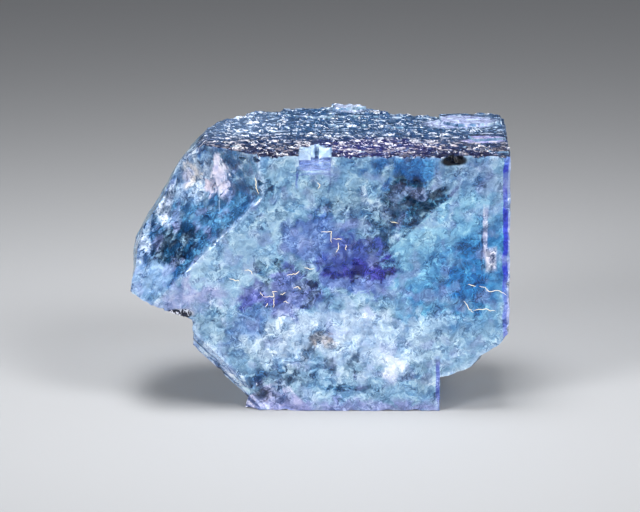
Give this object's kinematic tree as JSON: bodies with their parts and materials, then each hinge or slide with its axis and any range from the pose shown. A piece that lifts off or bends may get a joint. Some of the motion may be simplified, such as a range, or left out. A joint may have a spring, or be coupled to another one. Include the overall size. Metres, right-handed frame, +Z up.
{
  "type": "fluorite specimen",
  "caption": "Single cubic fluorite crystal with an etched top, cleaved left side and rough broken back, standing on its flat base as a display specimen.",
  "frame": {"origin": "middle of the bounding box, at the height of the surface that the crystal stands on", "axes": "+X to the right along the front cube face, +Y back from that face, +Z up, square to the etched top face"},
  "size_m": [0.048, 0.0276, 0.034],
  "materials": {
    "fluorite": "clear pale blue natural crystal with violet zones and white clouds inside, vitreous on the cube faces and cleavages, frosted by etching on the top"
  },
  "bodies": {
    "root": {"fluorite_crystal": "fluorite"}
  },
  "joints": []
}
